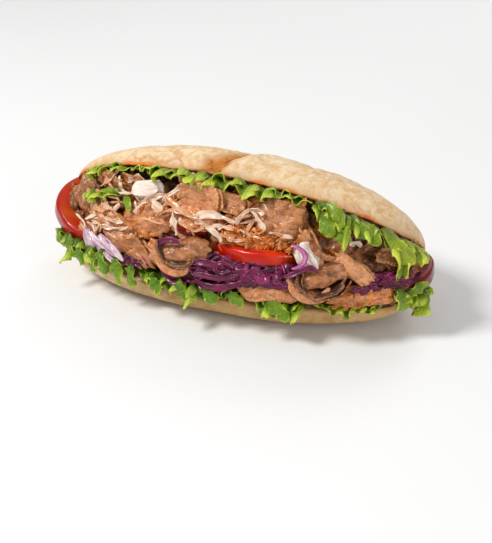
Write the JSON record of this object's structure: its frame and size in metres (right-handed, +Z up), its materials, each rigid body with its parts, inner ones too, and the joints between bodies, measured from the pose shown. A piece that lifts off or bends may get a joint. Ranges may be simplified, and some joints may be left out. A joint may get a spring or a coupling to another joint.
{
  "type": "doner kebab sandwich",
  "caption": "Oval bread loaf slit along its front and hinged at the back, filled with shaved roast meat, lettuce, tomato, red cabbage and onion: food to eat in the hand",
  "frame": {"origin": "middle of the box round the sandwich, at its underside", "axes": "+X along the loaf, from the left end to the right end as seen by someone facing the filling; -Y the way the open mouth faces; +Z up"},
  "size_m": [0.246, 0.1166, 0.0921],
  "materials": {
    "bread_crust": "matt golden crust dusted with flour",
    "roast_meat": "browned and a little oily",
    "tomato_flesh": "wet and glossy",
    "red_cabbage": "moist, half glossy",
    "white_onion": "moist, slightly clear",
    "red_onion": "moist, slightly clear",
    "lettuce": "fresh, half glossy"
  },
  "bodies": {
    "root": {"bread": "bread_crust", "tomato_left": "tomato_flesh", "tomato_mid": "tomato_flesh", "tomato_right": "tomato_flesh", "tomato_behind_left": "tomato_flesh", "tomato_behind_right": "tomato_flesh", "doner_heap": "roast_meat", "doner_scoop_left": "roast_meat", "doner_scoop_right": "roast_meat", "doner_slab_mid": "roast_meat", "doner_slab_right": "roast_meat", "doner_broad_right": "roast_meat", "doner_roll_top": "roast_meat", "doner_curl_top": "roast_meat", "doner_mid_left": "roast_meat", "doner_pulled_left": "roast_meat", "doner_drape_left": "roast_meat", "doner_saucy_mid": "roast_meat", "doner_pale_mid": "roast_meat", "doner_strip_right": "roast_meat", "doner_edge_mid": "roast_meat", "doner_curl_right": "roast_meat", "doner_fold_left_end": "roast_meat", "doner_fold_left_top": "roast_meat", "doner_under_scoop": "roast_meat", "doner_far_right": "roast_meat", "onion_white_top": "white_onion", "onion_white_right": "white_onion", "onion_red_left": "red_onion", "onion_red_far_left": "red_onion", "onion_red_ring": "red_onion", "cabbage_mid": "red_cabbage", "cabbage_right": "red_cabbage", "cabbage_left": "red_cabbage", "lettuce_lower_left": "lettuce", "lettuce_lower_mid": "lettuce", "lettuce_lower_hanging": "lettuce", "lettuce_lower_right": "lettuce", "lettuce_lower_end": "lettuce", "lettuce_upper_left": "lettuce", "lettuce_upper_mid": "lettuce", "lettuce_upper_right": "lettuce", "lettuce_upper_end": "lettuce", "lettuce_inner_left": "lettuce"}
  },
  "joints": []
}
